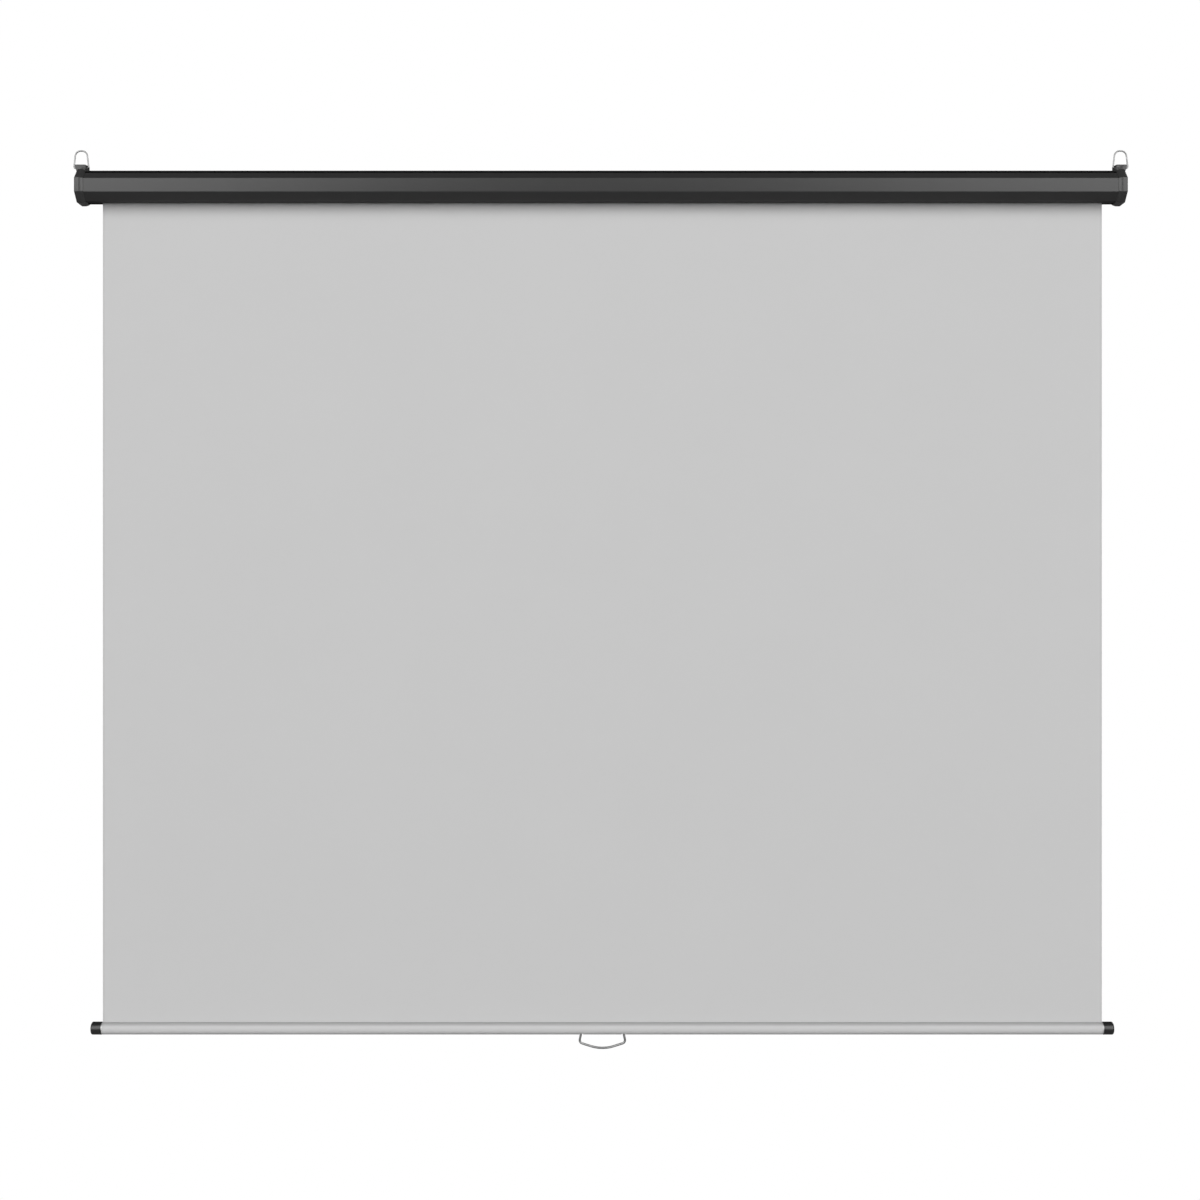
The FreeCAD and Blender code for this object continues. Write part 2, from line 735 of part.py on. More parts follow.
def make_plate_screws():
    screws = [screw(f"plate_screw_{name}", "plate_thickness + plate_screw_grip",
                    ("plate_seat - plate_thickness", f"roller_axis + {side} * plate_screw_pitch / 2", "0"),
                    (-1, 0, 0))
              for name, side in (("front", -1), ("rear", 1))]
    return group("plate_screws_right", *screws)


# Cloth and bottom bar

def make_fabric():
    return box("screen_fabric", ("fabric_width", "fabric_sheet", "-seam_top"),
               ("fabric_left", "fabric_plane - fabric_sheet / 2", "seam_top"))


def handle_slots(name):
    """Cuts below the bar for the handle's legs."""
    return [box(f"{name}_slot_{word}", ("handle_slot_width", "handle_slot_depth", "bar_diameter"),
                (f"fabric_offset + {side} * handle_pitch / 2 - handle_slot_width / 2",
                 "fabric_plane - handle_slot_depth / 2", "handle_pivot + handle_wire / 2 - bar_diameter"))
            for word, side in (("left", -1), ("right", 1))]


def make_bar_tube():
    length = "2 * (bar_reach - bar_cap_end)"
    start = "fabric_offset - bar_reach + bar_cap_end"
    solid = tube("bar_pipe", "bar_radius", "bar_radius - bar_sheet", length, start,
                 "fabric_plane", "bar_level")
    return cut("bar_tube", solid, *handle_slots("bar"))


def make_hem():
    seam = box("hem_seam", ("fabric_width", "seam_depth", "seam_rise + hem_sheet"),
               ("fabric_left", "fabric_plane - seam_depth / 2", "bar_level + hem_bore"))
    sleeve = fuse("hem_solid", seam, cylinder(
        "hem_sleeve", "hem_radius", "fabric_width", "fabric_left", "fabric_plane", "bar_level"))
    bore = cylinder("hem_inside", "hem_bore", "fabric_width", "fabric_left", "fabric_plane", "bar_level")
    return cut("fabric_hem", sleeve, bore, *handle_slots("hem"))


def make_bar_cap():
    body = new_body("bar_cap_right")
    start = "fabric_offset + fabric_width / 2 + bar_cap_gap"
    outside = new_sketch(body, "YZ_Plane", "bar_cap_outside", start, "fabric_plane", "bar_level")
    outline(outside, polygon("bar_cap_diameter / 2", ROUND_SIDES))
    block = pad(body, outside, "bar_cap_length")
    tip = value(f"{start} + bar_cap_length") - NEAR
    bevel_edges(body, block, lambda edge: edge.BoundBox.XMin > tip, "bar_cap_bevel")
    bore = new_sketch(body, "YZ_Plane", "bar_cap_bore", start, "fabric_plane", "bar_level")
    flats = math.cos(math.pi / ROUND_SIDES)
    outline(bore, polygon(f"(bar_radius + plug_fit) / {flats:.6f}", ROUND_SIDES))
    pocket(body, bore, "bar_cap_length - bar_cap_end")
    return body


def make_handle():
    body = new_body("pull_handle")
    path = new_sketch(body, "XZ_Plane", "handle_path", "-fabric_plane", "fabric_offset")
    corner = "handle_pivot - handle_corner_drop"
    bottom = "handle_pivot - handle_reach"
    half = [
        ("handle_pitch / 2 - handle_entry", "handle_pivot"),
        ("handle_pitch / 2", "handle_pivot", "handle_bend"),
        ("handle_spread / 2", corner, "handle_corner"),
        ("handle_flat / 2", bottom, "handle_curve"),
    ]
    outline(path, [(f"-({across})", *rest) for across, *rest in half] + half[::-1], closed=False)
    section = new_sketch(body, "YZ_Plane", "handle_section",
                         "fabric_offset - handle_pitch / 2 + handle_entry", "fabric_plane", "handle_pivot")
    outline(section, polygon("handle_wire / 2", WIRE_SIDES))
    pipe(body, section, path)
    return body


def make_pieces():
    cap = make_cap()
    cap_screws = make_cap_screws()
    plate_screws = make_plate_screws()
    ring = make_ring()
    bar_cap = make_bar_cap()
    return [
        make_casing_shell(),
        cap, mirrored("end_cap_left", cap),
        cap_screws, mirrored("cap_screws_left", cap_screws),
        make_plate("roller_plate_right", "plate_seat - plate_thickness", keyed=False),
        make_plate("roller_plate_left", "-plate_seat", keyed=True),
        plate_screws, mirrored("plate_screws_left", plate_screws),
        ring, mirrored("hang_ring_left", ring),
        *make_roller(),
        make_spindle(), *make_spring(), make_ratchet(), make_clip(),
        make_pawl("pawl_upper", 0), make_pawl("pawl_lower", 180),
        make_bush(),
        make_fabric(), make_bar_tube(), make_hem(),
        bar_cap, mirrored("bar_cap_left", bar_cap, "fabric_offset"),
        make_handle(),
    ]


pieces = make_pieces()
doc.recompute()
faulty = [item.Label for item in doc.Objects if {"Invalid", "Error"} & set(item.State)]
faulty += [piece.Label for piece in pieces if piece.Shape.isNull() or not piece.Shape.isValid()]
if faulty:
    raise RuntimeError("not built: " + ", ".join(faulty))
os.makedirs("parts", exist_ok=True)
for piece in pieces:
    piece.Shape.exportStep(f"parts/{piece.Label}.step")
    print(f"{piece.Label}: {len(piece.Shape.Solids)} solid, {piece.Shape.Volume:.1f} cubic millimetres")
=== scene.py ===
import bmesh
import bpy
import json
import math
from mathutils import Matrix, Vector


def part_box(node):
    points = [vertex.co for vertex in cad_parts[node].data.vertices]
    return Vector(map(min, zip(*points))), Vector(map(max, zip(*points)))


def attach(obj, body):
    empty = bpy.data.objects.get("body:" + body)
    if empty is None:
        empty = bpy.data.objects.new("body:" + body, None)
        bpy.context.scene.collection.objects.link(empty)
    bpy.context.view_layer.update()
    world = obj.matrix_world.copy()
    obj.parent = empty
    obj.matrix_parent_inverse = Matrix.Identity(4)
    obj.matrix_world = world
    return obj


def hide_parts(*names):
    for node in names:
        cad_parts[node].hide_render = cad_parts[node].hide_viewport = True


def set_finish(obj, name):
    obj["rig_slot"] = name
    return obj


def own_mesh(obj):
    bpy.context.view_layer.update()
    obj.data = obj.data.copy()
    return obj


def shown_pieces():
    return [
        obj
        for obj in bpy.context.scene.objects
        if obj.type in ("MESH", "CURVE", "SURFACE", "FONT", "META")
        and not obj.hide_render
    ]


# Looks of a pull-down projection screen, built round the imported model. Metres, +Z up, the wall at y 0.

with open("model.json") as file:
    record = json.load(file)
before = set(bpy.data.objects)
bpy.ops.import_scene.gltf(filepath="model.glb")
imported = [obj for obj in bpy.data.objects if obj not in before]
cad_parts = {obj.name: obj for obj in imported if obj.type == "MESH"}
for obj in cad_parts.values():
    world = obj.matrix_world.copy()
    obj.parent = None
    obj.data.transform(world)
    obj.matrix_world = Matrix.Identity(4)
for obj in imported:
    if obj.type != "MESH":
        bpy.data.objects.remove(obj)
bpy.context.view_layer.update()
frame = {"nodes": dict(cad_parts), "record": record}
SIDES = (("left", -1), ("right", 1))

# Places taken from the frame

CLOTH_LOW, CLOTH_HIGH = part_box("screen_fabric")
CLOTH_MIDDLE = (CLOTH_LOW + CLOTH_HIGH) / 2
CLOTH_PLANE = CLOTH_MIDDLE.y
CLOTH_OFFSET = CLOTH_MIDDLE.x
CLOTH_WIDTH = CLOTH_HIGH.x - CLOTH_LOW.x
SEAM_TOP = CLOTH_LOW.z
TUBE_LOW, TUBE_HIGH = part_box("bar_tube")
BAR_LEVEL = (TUBE_LOW.z + TUBE_HIGH.z) / 2
BAR_RADIUS = (TUBE_HIGH.z - TUBE_LOW.z) / 2
CASING_LOW, CASING_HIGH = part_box("casing_shell")
CASING_DEPTH = -CASING_LOW.y
CASING_TOP = CASING_HIGH.z
CAP_LOW, CAP_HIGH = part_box("end_cap_right")
CAP_RIM = CAP_LOW.x
CAP_TIP = CAP_HIGH.x
CAP_DEPTH = -CAP_LOW.y
CAP_TOP = -CAP_LOW.z
RING_LOW, RING_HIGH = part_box("hang_ring_right")
RING_WIRE = (RING_HIGH.y - RING_LOW.y) / 2
EYE_DEPTH = (RING_LOW.y + RING_HIGH.y) / 2
EYE_LEVEL = RING_LOW.z + RING_WIRE
HANDLE_LOW, HANDLE_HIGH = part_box("pull_handle")
HANDLE_WIRE = (HANDLE_HIGH.y - HANDLE_LOW.y) / 2

# Sizes that several pieces share

CLOTH_THICKNESS = 0.00038
HEM_GAP = 0.00005
HANDLE_HALF_PITCH = 0.0427

# Fineness of the meshes, with the angles in degrees over which an edge looks sharp

LONG_COLUMNS = 96
WIRE_SIDES = 20
LATHE_STEPS = 64
CORNER_STEPS = 5
BEND_STEP = math.radians(7.5)
SHARP_SHEET = 30
SHARP_MOULDED = 35
SHARP_TURNED = 40
SHARP_BENT = 50


# Meshes

def new_piece(name, body, slot, *replaced):
    """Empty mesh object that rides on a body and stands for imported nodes."""
    piece = bpy.data.objects.new(name, bpy.data.meshes.new(name))
    bpy.context.scene.collection.objects.link(piece)
    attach(piece, body)
    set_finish(piece, slot)
    if replaced:
        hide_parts(*replaced)
    return piece


def fill_mesh(piece, bm, sharp_degrees):
    """Write a built mesh into its object, smooth between its sharp edges."""
    bmesh.ops.recalc_face_normals(bm, faces=bm.faces)
    for face in bm.faces:
        face.smooth = True
    bm.to_mesh(piece.data)
    bm.free()
    piece.data.set_sharp_from_angle(angle=math.radians(sharp_degrees))


def spaced(first, last, count):
    """Evenly spaced numbers from the first to the last."""
    return [first + (last - first) * step / count for step in range(count + 1)]


def full_turn(count):
    """Angles that go once round."""
    return [2 * math.pi * step / count for step in range(count)]


def bridge_rings(bm, rings, closed_ring=True):
    """Quads between neighbouring rings of vertices."""
    for near, far in zip(rings, rings[1:]):
        count = len(near)
        for index in range(count if closed_ring else count - 1):
            after = (index + 1) % count
            bm.faces.new((near[index], near[after], far[after], far[index]))


def loft(bm, sections):
    """Closed skin through sections that have the same number of points."""
    rings = [[bm.verts.new(spot) for spot in section] for section in sections]
    bridge_rings(bm, rings)
    bm.faces.new(rings[0])
    bm.faces.new(rings[-1])


def draw_sheet(bm, loop, columns):
    """Sheet drawn along X, from an outline in (y, z) that goes along one face and back along the other."""
    rings = [[bm.verts.new((x, y, z)) for y, z in loop] for x in columns]
    bridge_rings(bm, rings)
    for end in (rings[0], rings[-1]):
        for step in range(len(loop) // 2 - 1):
            bm.faces.new((end[step], end[step + 1], end[-2 - step], end[-1 - step]))


def rounded_path(corners, arc_steps=None):
    """Points of a path or loop in a plane, where a corner's third number rounds it by an arc."""
    points = []
    for index, corner in enumerate(corners):
        spot = Vector(corner[:2])
        if len(corner) == 2:
            points.append(spot)
            continue
        back = (Vector(corners[index - 1][:2]) - spot).normalized()
        ahead = (Vector(corners[(index + 1) % len(corners)][:2]) - spot).normalized()
        half = back.angle(ahead) / 2
        radius = corner[2]
        centre = spot + (back + ahead).normalized() * radius / math.sin(half)
        first = spot + back * radius / math.tan(half) - centre
        sweep = math.pi - 2 * half
        side = 1 if back.y * ahead.x - back.x * ahead.y > 0 else -1
        for turn in spaced(0, side * sweep, arc_steps or max(2, math.ceil(sweep / BEND_STEP))):
            points.append(centre + Vector((first.x * math.cos(turn) - first.y * math.sin(turn),
                                           first.x * math.sin(turn) + first.y * math.cos(turn))))
    return points


def both_halves(half):
    """Corners of a path that is the same on both sides of its middle, from one half."""
    return half + [(-corner[0], *corner[1:]) for corner in reversed(half)]


# A wire's softened end: steps along it and its girth there, both as shares of the wire's radius
WIRE_END = ((0.0, 0.55), (0.18, 0.86), (0.45, 1.0))


def wire_mesh(piece, path, radius, depth):
    """Round wire along a path of (x, z) points at one depth, with softened ends."""
    start_way = (path[1] - path[0]).normalized()
    end_way = (path[-1] - path[-2]).normalized()
    stations = [(path[0] + start_way * radius * step, start_way, girth) for step, girth in WIRE_END]
    for before, spot, after in zip(path, path[1:], path[2:]):
        way = ((spot - before).normalized() + (after - spot).normalized()).normalized()
        stations.append((spot, way, 1.0))
    stations += [(path[-1] - end_way * radius * step, end_way, girth) for step, girth in reversed(WIRE_END)]
    sections = []
    for spot, way, girth in stations:
        section = []
        for turn in full_turn(WIRE_SIDES):
            out = radius * girth * math.cos(turn)
            section.append((spot.x - way.y * out, depth + radius * girth * math.sin(turn),
                            spot.y + way.x * out))
        sections.append(section)
    bm = bmesh.new()
    loft(bm, sections)
    fill_mesh(piece, bm, SHARP_BENT)


def lathe_mesh(piece, profile, depth, level):
    """Solid turned about a line along X, from a profile of (x, radius) that starts and ends on that line."""
    bm = bmesh.new()
    rings = []
    for x, radius in profile:
        turns = full_turn(LATHE_STEPS) if radius else [0]
        rings.append([bm.verts.new((x, depth + radius * math.cos(turn), level + radius * math.sin(turn)))
                      for turn in turns])
    for near, far in zip(rings, rings[1:]):
        for step in range(LATHE_STEPS):
            after = (step + 1) % LATHE_STEPS
            corners = [near[step % len(near)], near[after % len(near)], far[after % len(far)],
                       far[step % len(far)]]
            bm.faces.new(list(dict.fromkeys(corners)))
    fill_mesh(piece, bm, SHARP_TURNED)


def bored(solid, drill):
    """Mesh of a closed solid with a drill's closed shape taken out of it."""
    holders = [bpy.data.objects.new(shape.name, shape) for shape in (solid, drill)]
    for holder in holders:
        bpy.context.scene.collection.objects.link(holder)
    cut = holders[0].modifiers.new("bore", "BOOLEAN")
    cut.operation = "DIFFERENCE"
    cut.solver = "EXACT"
    cut.object = holders[1]
    graph = bpy.context.evaluated_depsgraph_get()
    result = bpy.data.meshes.new_from_object(holders[0].evaluated_get(graph))
    for holder in holders:
        bpy.data.objects.remove(holder)
    return result


# Shader helpers

NOISE_ROUGHNESS = 0.55


def new_material(name, roughness, metallic=0.0):
    material = bpy.data.materials.new(name)
    material.use_nodes = True
    tree = material.node_tree
    shader = tree.nodes["Principled BSDF"]
    shader.inputs["Roughness"].default_value = roughness
    shader.inputs["Metallic"].default_value = metallic
    return material, tree, shader


def add_node(tree, kind, inputs=None, **settings):
    """New node with its settings, whose inputs are set to values or linked to other nodes' outputs."""
    node = tree.nodes.new(kind)
    for name, setting in settings.items():
        setattr(node, name, setting)
    for name, given in (inputs or {}).items():
        if isinstance(given, bpy.types.NodeSocket):
            tree.links.new(given, node.inputs[name])
        else:
            node.inputs[name].default_value = given
    return node


def stretched_place(tree, stretch=(1, 1, 1)):
    """Place on the piece in metres, stretched along its axes."""
    place = add_node(tree, "ShaderNodeTexCoord").outputs["Object"]
    return add_node(tree, "ShaderNodeMapping", {"Vector": place, "Scale": stretch}).outputs["Vector"]


def coordinate(tree, vector, axis):
    """One of the three numbers of a place or direction."""
    return add_node(tree, "ShaderNodeSeparateXYZ", {"Vector": vector}).outputs[axis]


def maths(tree, operation, *given):
    """Result of an operation on numbers or outputs."""
    return add_node(tree, "ShaderNodeMath", dict(enumerate(given)), operation=operation).outputs["Value"]


def noise(tree, place, scale, detail=3.0):
    inputs = {"Vector": place, "Scale": scale, "Detail": detail, "Roughness": NOISE_ROUGHNESS}
    return add_node(tree, "ShaderNodeTexNoise", inputs).outputs["Fac"]


def spread(tree, factor, low, high, start=0.3, end=0.7):
    """Number between low and high as a factor goes from start to end."""
    inputs = {"Value": factor, "From Min": start, "From Max": end, "To Min": low, "To Max": high}
    return add_node(tree, "ShaderNodeMapRange", inputs).outputs["Result"]


def mixed(tree, factor, first, second):
    """Colour between two colours, each a value or another node's output."""
    inputs = {"Factor": factor, "A": first, "B": second}
    return add_node(tree, "ShaderNodeMix", inputs, data_type="RGBA").outputs["Result"]


def bump(tree, shader, height, strength, distance):
    inputs = {"Height": height, "Strength": strength, "Distance": distance}
    tree.links.new(add_node(tree, "ShaderNodeBump", inputs).outputs["Normal"], shader.inputs["Normal"])


def grey(level):
    return (level, level, level, 1)


# Finishes, whose tones are shares of the finish's own level

COAT_TONES = (0.9, 1.12)
COAT_CLOUD = 14.0
COAT_GLOSS = 0.03
COAT_RELIEF = 0.35
# Painted shade on the casing: the height and the depth past which the coat turns near black, and the width of
# the blend.
PAINTED_SHADE_UP = 0.0254
PAINTED_SHADE_BACK = -0.0464
PAINTED_SHADE_BLEND = 0.0003
DARK_ROUGHNESS = 0.75


def coated_finish(name, level, roughness, grain, depth, specular=0.6):
    """Powder coat or moulded plastic: fine grain, uneven gloss and slight tone."""
    material, tree, shader = new_material(name, roughness)
    shader.inputs["Specular IOR Level"].default_value = specular
    place = stretched_place(tree)
    cloud = noise(tree, place, COAT_CLOUD, detail=4.0)
    tone = mixed(tree, cloud, *(grey(level * share) for share in COAT_TONES))
    tree.links.new(tone, shader.inputs["Base Color"])
    gloss = spread(tree, cloud, roughness - COAT_GLOSS, roughness + COAT_GLOSS)
    tree.links.new(gloss, shader.inputs["Roughness"])
    bump(tree, shader, noise(tree, place, grain), COAT_RELIEF, depth)
    return material


def casing_finish(name, level, painted_shade_level, roughness, grain, depth):
    """Satin coat on the casing's front. Above the groove at the top of the front, and round the crown, back
    and underside, a near-black, rougher coat paints the shade of the dark strip along the top and of the
    underside.
    """
    material = coated_finish(name, level, roughness, grain, depth)
    tree = material.node_tree
    shader = tree.nodes["Principled BSDF"]
    coat = shader.inputs["Base Color"].links[0].from_socket
    place = stretched_place(tree)
    # Painted shade: near black above the top groove, and behind the lower bevel over the underside and back.
    beyond = [spread(tree, coordinate(tree, place, axis), 0.0, 1.0, edge - PAINTED_SHADE_BLEND, edge)
              for axis, edge in (("Z", PAINTED_SHADE_UP), ("Y", PAINTED_SHADE_BACK))]
    shade_mask = maths(tree, "MAXIMUM", *beyond)
    tree.links.new(mixed(tree, shade_mask, coat, grey(painted_shade_level)), shader.inputs["Base Color"])
    tree.links.new(spread(tree, shade_mask, roughness, DARK_ROUGHNESS, 0.0, 1.0), shader.inputs["Roughness"])
    return material


METAL_TONES = (0.88, 1.05)
METAL_CLOUD = 60.0
METAL_GLOSS = (-0.06, 0.08)
METAL_RELIEF = 0.12
METAL_DEPTH = 0.00008


def metal_finish(name, level, roughness, stretch=(1, 1, 1), grain=900.0):
    """Plated or drawn metal: fine lines along the stretch and cloudy gloss."""
    material, tree, shader = new_material(name, roughness, 1.0)
    fine = noise(tree, stretched_place(tree, stretch), grain, detail=4.0)
    cloud = noise(tree, stretched_place(tree), METAL_CLOUD)
    tone = mixed(tree, cloud, *(grey(level * share) for share in METAL_TONES))
    tree.links.new(tone, shader.inputs["Base Color"])
    gloss = spread(tree, fine, *(roughness + change for change in METAL_GLOSS))
    tree.links.new(gloss, shader.inputs["Roughness"])
    bump(tree, shader, fine, METAL_RELIEF, METAL_DEPTH)
    return material


CLOTH_ROUGHNESS = 0.82
CLOTH_SPECULAR = 0.25
CLOTH_TONES = (0.985, 1.012)
CLOTH_CLOUD = 3.2
CLOTH_RELIEF = 0.25
WEAVE = {"Scale": 380.0, "Distortion": 0.6, "Detail": 1.0}
WEAVE_DEPTH = 0.00006
# Painted shade along the cloth's side edges: the band's width and its share of the cloth's tone.
EDGE_SHADE_WIDTH = 0.005
EDGE_SHADE_TONE = 0.94
# Painted shade on up-facing cloth: the upward share of the normal over which it comes in.
TOP_SHADE_FROM = 0.45
TOP_SHADE_TO = 0.85


def cloth_finish(name, level, top_shade=0.0):
    """Matt coated cloth: woven relief and faint clouding, with painted shade along its side edges and, when
    given a tone for it, painted shade on faces that look up.
    """
    material, tree, shader = new_material(name, CLOTH_ROUGHNESS)
    shader.inputs["Specular IOR Level"].default_value = CLOTH_SPECULAR
    place = stretched_place(tree)
    cloud = noise(tree, place, CLOTH_CLOUD, detail=5.0)
    colour = mixed(tree, cloud, *(grey(level * share) for share in CLOTH_TONES))
    reach = maths(tree, "ABSOLUTE", maths(tree, "SUBTRACT", coordinate(tree, place, "X"), CLOTH_OFFSET))
    half = CLOTH_WIDTH / 2
    # Painted shade: darker towards the side edges.
    in_edge_shade = spread(tree, reach, 0.0, 1.0, half - EDGE_SHADE_WIDTH, half - EDGE_SHADE_WIDTH / 2)
    colour = mixed(tree, in_edge_shade, colour, grey(level * EDGE_SHADE_TONE))
    # Painted shade on faces that look up, darker the more they face up.
    if top_shade:
        normal = add_node(tree, "ShaderNodeNewGeometry").outputs["Normal"]
        facing_up = spread(tree, coordinate(tree, normal, "Z"), 0.0, 1.0, TOP_SHADE_FROM, TOP_SHADE_TO)
        colour = mixed(tree, facing_up, colour, grey(top_shade))
    tree.links.new(colour, shader.inputs["Base Color"])
    threads = [add_node(tree, "ShaderNodeTexWave", {"Vector": place, **WEAVE}, bands_direction=way)
               for way in ("X", "Z")]
    weave = maths(tree, "MULTIPLY", *(thread.outputs["Fac"] for thread in threads))
    bump(tree, shader, weave, CLOTH_RELIEF, WEAVE_DEPTH)
    return material


CLOTH_TONE = 0.705
# Tone of the painted shade along the top of the hem.
TOP_SHADE_TONE = 0.45


def make_finishes():
    """One finish for each material slot of the record."""
    return {
        "casing_paint": casing_finish("satin_black_coat", level=0.03, painted_shade_level=0.006, roughness=0.3,
                                      grain=1400.0, depth=0.00004),
        "cap_plastic": coated_finish("black_moulding", level=0.036, roughness=0.34, grain=2200.0,
                                     depth=0.00005, specular=0.7),
        "ring_wire": metal_finish("bright_plated_wire", level=0.42, roughness=0.28),
        "handle_wire": metal_finish("grey_plated_wire", level=0.46, roughness=0.3),
        "screen_cloth": cloth_finish("matt_white_cloth", CLOTH_TONE),
        "tube_steel": metal_finish("galvanised_tube", level=0.58, roughness=0.38, stretch=(0.05, 1, 1)),
        "lock_steel": metal_finish("bright_steel", level=0.56, roughness=0.28),
        "spring_steel": metal_finish("oiled_spring_wire", level=0.24, roughness=0.34,
                                     stretch=(1, 0.2, 0.2), grain=1600.0),
        "plug_plastic": coated_finish("grey_moulding", level=0.24, roughness=0.5, grain=1800.0,
                                      depth=0.00004),
        "bush_nylon": coated_finish("natural_nylon", level=0.72, roughness=0.44, grain=1500.0,
                                    depth=0.00003),
        "plate_steel": metal_finish("zinc_plate", level=0.6, roughness=0.34, stretch=(1, 0.1, 1)),
        "screw_zinc": metal_finish("dark_zinc", level=0.34, roughness=0.36),
    }


# Cloth, hem and wraps

CLOTH_ROWS = 80


def make_cloth():
    """The lowered sheet, from the roller down to the hem's seam."""
    piece = new_piece("screen_sheet", "casing", "screen_cloth", "screen_fabric")
    bm = bmesh.new()
    rims = []
    for depth in (CLOTH_PLANE - CLOTH_THICKNESS / 2, CLOTH_PLANE + CLOTH_THICKNESS / 2):
        rows = [[bm.verts.new((x, depth, level)) for x in spaced(CLOTH_LOW.x, CLOTH_HIGH.x, LONG_COLUMNS)]
                for level in spaced(CLOTH_HIGH.z, SEAM_TOP, CLOTH_ROWS)]
        bridge_rings(bm, rows, closed_ring=False)
        rims.append(([row[0] for row in rows], [row[-1] for row in rows], rows[0], rows[-1]))
    for near, far in zip(*rims):
        bridge_rings(bm, [near, far], closed_ring=False)
    fill_mesh(piece, bm, SHARP_SHEET)
    return piece


HEM_THICKNESS = 0.0005
HEM_NECK = 0.0008
HEM_STEPS = 22
SLOT_HALF_WIDTH = 0.0037
SLOT_HALF_DEPTH = 0.0085


def hem_loops():
    """Outer and inner loops of the sleeve round the tube as (y, z), and the steps that a slot takes out."""
    inner = BAR_RADIUS + HEM_GAP
    outer = inner + HEM_THICKNESS
    neck = math.asin(HEM_NECK / outer)
    reach = math.asin(SLOT_HALF_DEPTH / outer)
    marks = [neck, math.pi - reach, math.pi + reach, 2 * math.pi - neck]
    turns = [turn for first, last in zip(marks, marks[1:]) for turn in spaced(first, last, HEM_STEPS)[:-1]]
    turns.append(marks[-1])
    rise = SEAM_TOP - BAR_LEVEL
    outside = [(-outer * math.sin(turn), outer * math.cos(turn)) for turn in turns]
    outside = [(-HEM_NECK, rise), *outside, (HEM_NECK, rise)]
    turns = [neck / 2, *turns, 2 * math.pi - neck / 2]
    inside = [(-inner * math.sin(turn), inner * math.cos(turn)) for turn in turns]
    return outside, inside, range(HEM_STEPS + 1, 2 * HEM_STEPS + 1)


def make_hem():
    """The sleeve of cloth round the bottom tube, open where the handle goes in."""
    piece = new_piece("hem_sleeve", "bar", "screen_cloth", "fabric_hem")
    outside, inside, slot_steps = hem_loops()
    middles = [CLOTH_OFFSET + sign * HANDLE_HALF_PITCH for _, sign in SIDES]
    slots = [(middle - SLOT_HALF_WIDTH, middle + SLOT_HALF_WIDTH) for middle in middles]
    columns = [x for x in spaced(CLOTH_LOW.x, CLOTH_HIGH.x, LONG_COLUMNS)
               if not any(low < x < high for low, high in slots)]
    columns = sorted(columns + [edge for slot in slots for edge in slot])
    open_columns = {columns.index(low) for low, _ in slots}
    bm = bmesh.new()
    outer, inner = [[[bm.verts.new((x, CLOTH_PLANE + y, BAR_LEVEL + z)) for y, z in loop] for x in columns]
                    for loop in (outside, inside)]
    count = len(outside)
    for near in range(len(columns) - 1):
        far = near + 1
        for step in range(count):
            after = (step + 1) % count
            if near in open_columns and step in slot_steps:
                for end in (near, far):
                    bm.faces.new((outer[end][step], outer[end][after], inner[end][after], inner[end][step]))
                continue
            for skin in (outer, inner):
                bm.faces.new((skin[near][step], skin[near][after], skin[far][after], skin[far][step]))
        if near in open_columns:
            for step in (slot_steps.start, slot_steps.stop):
                bm.faces.new((outer[near][step], outer[far][step], inner[far][step], inner[near][step]))
    for end in (0, -1):
        bridge_rings(bm, [outer[end], inner[end]])
    fill_mesh(piece, bm, SHARP_BENT)
    return piece


WRAP_STEPS = 96
WRAP_COLUMNS = 24
WRAP_SEAT = 0.55 * CLOTH_THICKNESS


def make_wraps():
    """The last turn of cloth on the roller, wound down to where the sheet leaves it."""
    piece = new_piece("roller_wrap", "roller", "screen_cloth", "fabric_wraps")
    low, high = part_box("roller_tube")
    axis = (low + high) / 2
    leaving = CLOTH_PLANE - axis.y
    lying = (high.z - low.z) / 2 + WRAP_SEAT
    loop = []
    for face in (1, -1):
        for step in range(WRAP_STEPS + 1)[::face]:
            turn = 2 * math.pi * step / WRAP_STEPS
            radius = leaving + (lying - leaving) * step / WRAP_STEPS + face * CLOTH_THICKNESS / 2
            loop.append((axis.y + radius * math.cos(turn), radius * math.sin(turn)))
    bm = bmesh.new()
    draw_sheet(bm, loop, spaced(CLOTH_LOW.x, CLOTH_HIGH.x, WRAP_COLUMNS))
    fill_mesh(piece, bm, SHARP_BENT)
    return piece


# Casing and its end caps, with sections given as (y, z)

SHEET = 0.0008
BEND = 0.002
CASING_CROWN = 0.0307
CASING_FLAT = 0.01475
FLAT_LOW = -0.0158
FLAT_HIGH = 0.0118
GROOVE_FOOT = (-0.0485, 0.0253)
GROOVE_HEAD = (-0.0479, 0.0284)
GROOVE_FLOOR = -0.0415
SLOT_FRONT = -0.027
SLOT_BACK = -0.0194
LIP_RISE = 0.006


